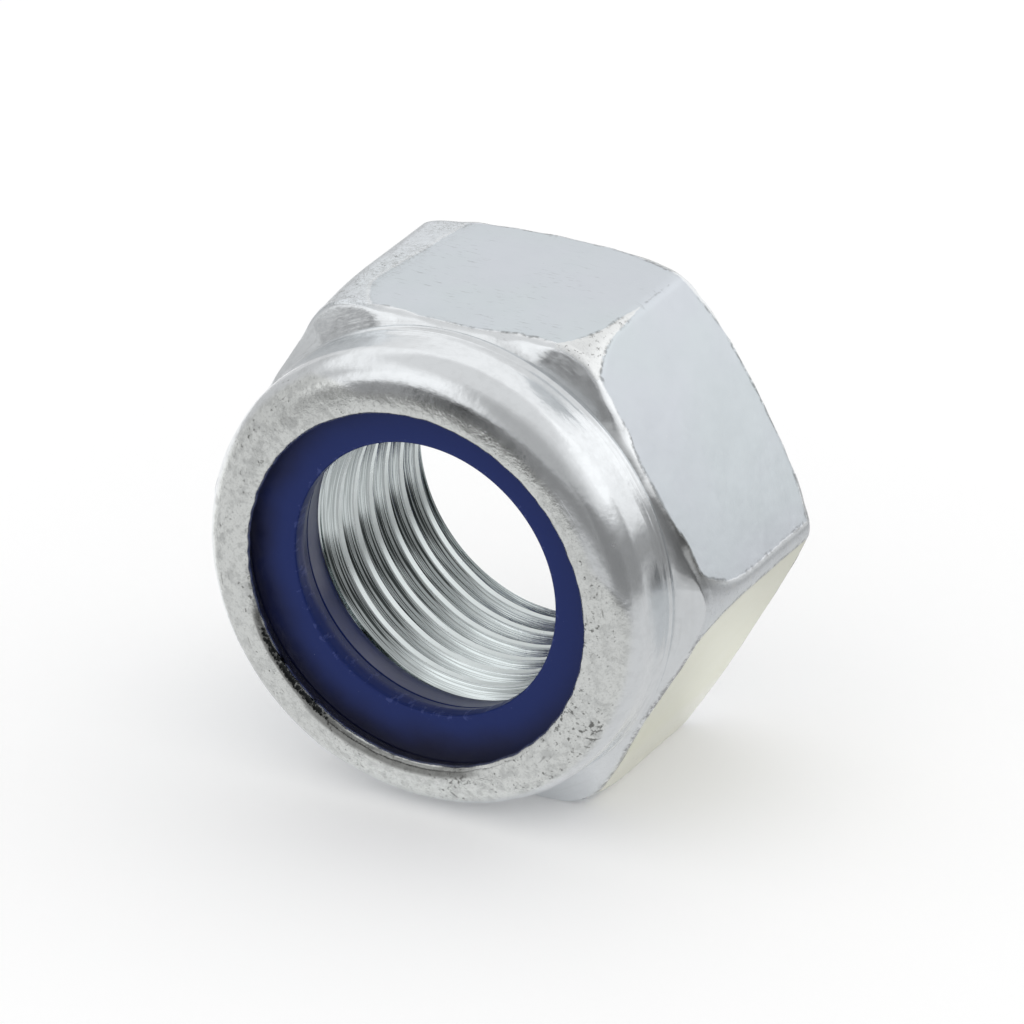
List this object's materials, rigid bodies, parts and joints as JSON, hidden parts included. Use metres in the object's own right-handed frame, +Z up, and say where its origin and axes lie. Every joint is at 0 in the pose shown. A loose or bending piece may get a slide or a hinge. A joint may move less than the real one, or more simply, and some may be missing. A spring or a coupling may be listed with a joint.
{
  "type": "nylon insert lock nut",
  "caption": "Hexagon lock nut of zinc-plated steel with a round crimped collar that holds a blue nylon locking ring.",
  "frame": {"origin": "centre of the bearing face, on the thread axis", "axes": "+Y along the thread axis and out of the bearing face, +Z up and square to the flat that faces up; the nut lies on the opposite flat"},
  "size_m": [0.0274, 0.016, 0.024],
  "materials": {
    "zinc_plated_steel": "bright zinc plate, satin, with light handling marks",
    "blue_nylon": "deep blue nylon, satin gloss"
  },
  "bodies": {
    "root": {"nut_body": "zinc_plated_steel", "nylon_ring": "blue_nylon"}
  },
  "joints": []
}
